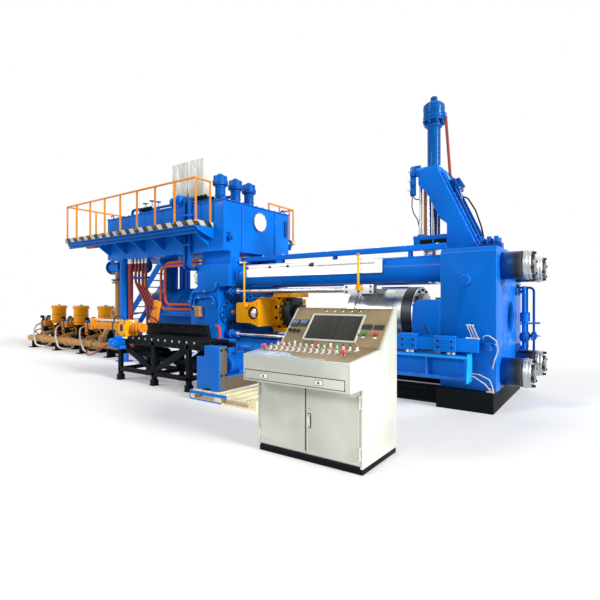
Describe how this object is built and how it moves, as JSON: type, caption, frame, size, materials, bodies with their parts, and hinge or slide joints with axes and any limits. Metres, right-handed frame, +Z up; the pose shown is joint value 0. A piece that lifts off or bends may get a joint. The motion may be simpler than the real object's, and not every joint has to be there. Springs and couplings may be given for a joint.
{
  "type": "aluminium extrusion press",
  "caption": "Blue horizontal hydraulic extrusion press with amber crosshead, die shear, overhead oil tank with railed walkway, pump row, billet rack, loader base and grey control desk.",
  "frame": {"origin": "on the floor under the press axis, at the middle of the front platen's base", "axes": "+X along the press axis towards the exit end, +Y away from the control desk, +Z up"},
  "size_m": [14.044, 5.92, 4.636],
  "materials": {
    "blue_paint": "gloss",
    "dark_blue": "gloss",
    "light_blue": "satin",
    "black_paint": "satin",
    "amber_paint": "gloss",
    "orange_paint": "gloss",
    "ochre_paint": "satin",
    "canister_yellow": "gloss",
    "white_paint": "satin",
    "desk_grey": "satin",
    "bronze_panel": "brushed",
    "chrome": "polished",
    "dark_steel": "machined",
    "bright_steel": "machined",
    "red_hose": "satin",
    "white_hose": "satin",
    "wood": "rough sawn",
    "film_wrap": "wrapped film"
  },
  "bodies": {
    "press": {"press_bases": "black_paint", "bed_beams": "black_paint", "front_platen": "blue_paint", "main_platen": "blue_paint", "tie_sleeves": "blue_paint", "tie_rod_nuts": "dark_steel", "main_cylinder": "dark_blue", "return_cylinders": "blue_paint", "cylinder_glands": "blue_paint", "position_board": "white_paint", "hose_tray": "light_blue", "die_cheeks": "blue_paint", "die_stack": "dark_steel", "front_slide": "blue_paint", "shear_gallows": "blue_paint", "shear_cylinder": "dark_blue", "shear_guide": "blue_paint", "exit_pipes": "dark_blue", "oil_tank": "blue_paint", "tank_lid": "blue_paint", "tank_supports": "dark_blue", "walkway_decks": "blue_paint", "front_rail": "orange_paint", "rear_rail": "orange_paint", "end_rails": "orange_paint", "stair_stringers": "blue_paint", "stair_treads": "dark_blue", "return_filters": "blue_paint", "oil_coolers": "film_wrap", "suction_header": "dark_blue", "suction_pipes": "ochre_paint", "valve_stand": "blue_paint", "hydraulic_hoses": "red_hose", "pump_beds": "black_paint", "pump_motors": "dark_blue", "pumps": "ochre_paint", "suction_canisters": "canister_yellow", "pump_hoses": "white_hose", "rack_frame": "black_paint", "rack_conveyor": "dark_steel", "billet_pusher": "orange_paint", "loader_base": "blue_paint", "drive_motors": "blue_paint", "pallet": "wood", "console_plinth": "black_paint", "console_cabinet": "desk_grey", "console_desk": "desk_grey", "console_panel": "bronze_panel"},
    "crosshead": {"main_ram": "chrome", "moving_crosshead": "amber_paint", "extrusion_stem": "dark_steel"},
    "container": {"container_drum": "bright_steel", "container_rings": "dark_steel", "container_rods": "chrome", "container_pointer": "amber_paint"},
    "shear": {"shear_ram": "bright_steel"},
    "pusher": {"pusher_rod": "bright_steel"},
    "door_l": {"left_door": "desk_grey"},
    "door_r": {"right_door": "desk_grey"},
    "drawer": {"keyboard_drawer": "desk_grey"}
  },
  "joints": [
    {"name": "crosshead_slide", "type": "slide", "parent": "press", "child": "crosshead", "axis": [1, 0, 0], "range_m": [0, 1.07]},
    {"name": "container_slide", "type": "slide", "parent": "press", "child": "container", "axis": [1, 0, 0], "range_m": [-0.2, 0.205]},
    {"name": "shear_slide", "type": "slide", "parent": "press", "child": "shear", "axis": [0, 0, 1], "range_m": [-0.6, 0]},
    {"name": "pusher_slide", "type": "slide", "parent": "press", "child": "pusher", "axis": [1, 0, 0], "range_m": [0, 0.3]},
    {"name": "left_door_hinge", "type": "hinge", "parent": "press", "child": "door_l", "pos_m": [-1.191, -3.674, 0.4], "axis": [0, 0, -1], "range_deg": [0, 110]},
    {"name": "right_door_hinge", "type": "hinge", "parent": "press", "child": "door_r", "pos_m": [-0.12, -3.674, 0.4], "axis": [0, 0, 1], "range_deg": [0, 110]},
    {"name": "drawer_slide", "type": "slide", "parent": "press", "child": "drawer", "axis": [0, -1, 0], "range_m": [0, 0.28]}
  ]
}
